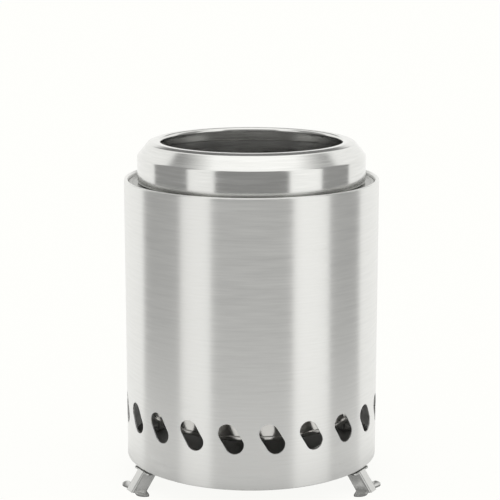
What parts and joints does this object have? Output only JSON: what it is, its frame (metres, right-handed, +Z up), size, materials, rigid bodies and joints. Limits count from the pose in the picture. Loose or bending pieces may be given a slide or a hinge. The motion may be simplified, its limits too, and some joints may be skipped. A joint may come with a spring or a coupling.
{
  "type": "smokeless fire pit",
  "caption": "Round double-walled steel tabletop fire pit with slanted air slots low in its shell, a lift-off flame ring, a pan and grate inside, and a low stand on splayed legs.",
  "frame": {"origin": "in the plane that the stand's feet rest on, in the middle of the object's box; the pit's axis stands 3.5 mm in front of it, because only the rear leg reaches past the shell along Y", "axes": "+Z up along the pit's axis; -Y to the front, midway between the two legs in view; +X to the right as seen from the front"},
  "size_m": [0.1326, 0.1368, 0.1751],
  "materials": {
    "shell_steel": "fine brushed grain that runs round the shell, satin",
    "ledge_steel": "satin, brushed round",
    "ring_steel": "bright, very fine brushed grain",
    "chamber_steel": "bright rolled sheet",
    "plate_steel": "dull rolled sheet",
    "stand_steel": "satin, brushed along the sheet",
    "rivet_steel": "plain",
    "pan_steel": "dull rolled sheet",
    "grate_steel": "dull rolled sheet, punched"
  },
  "bodies": {
    "stand": {"stand_ring": "stand_steel", "stand_leg_left": "stand_steel", "stand_leg_right": "stand_steel", "stand_leg_rear": "stand_steel", "stand_rivets": "rivet_steel"},
    "pit": {"outer_shell": "shell_steel", "base_plate": "plate_steel", "heat_shield": "plate_steel", "chamber_brackets": "plate_steel", "chamber_floor": "chamber_steel", "inner_chamber": "chamber_steel", "top_collar": "ledge_steel"},
    "ring": {"flame_ring": "ring_steel", "ring_band": "ring_steel"},
    "pan": {"ash_pan": "pan_steel"},
    "grate": {"fuel_grate": "grate_steel"}
  },
  "joints": [
    {"name": "pit_lift", "type": "slide", "parent": "stand", "child": "pit", "axis": [0, 0, 1], "range_m": [0, 0.04]},
    {"name": "ring_lift", "type": "slide", "parent": "pit", "child": "ring", "axis": [0, 0, 1], "range_m": [0, 0.05]},
    {"name": "pan_lift", "type": "slide", "parent": "pit", "child": "pan", "axis": [0, 0, 1], "range_m": [0, 0.16]},
    {"name": "grate_lift", "type": "slide", "parent": "pan", "child": "grate", "axis": [0, 0, 1], "range_m": [0, 0.145]}
  ]
}
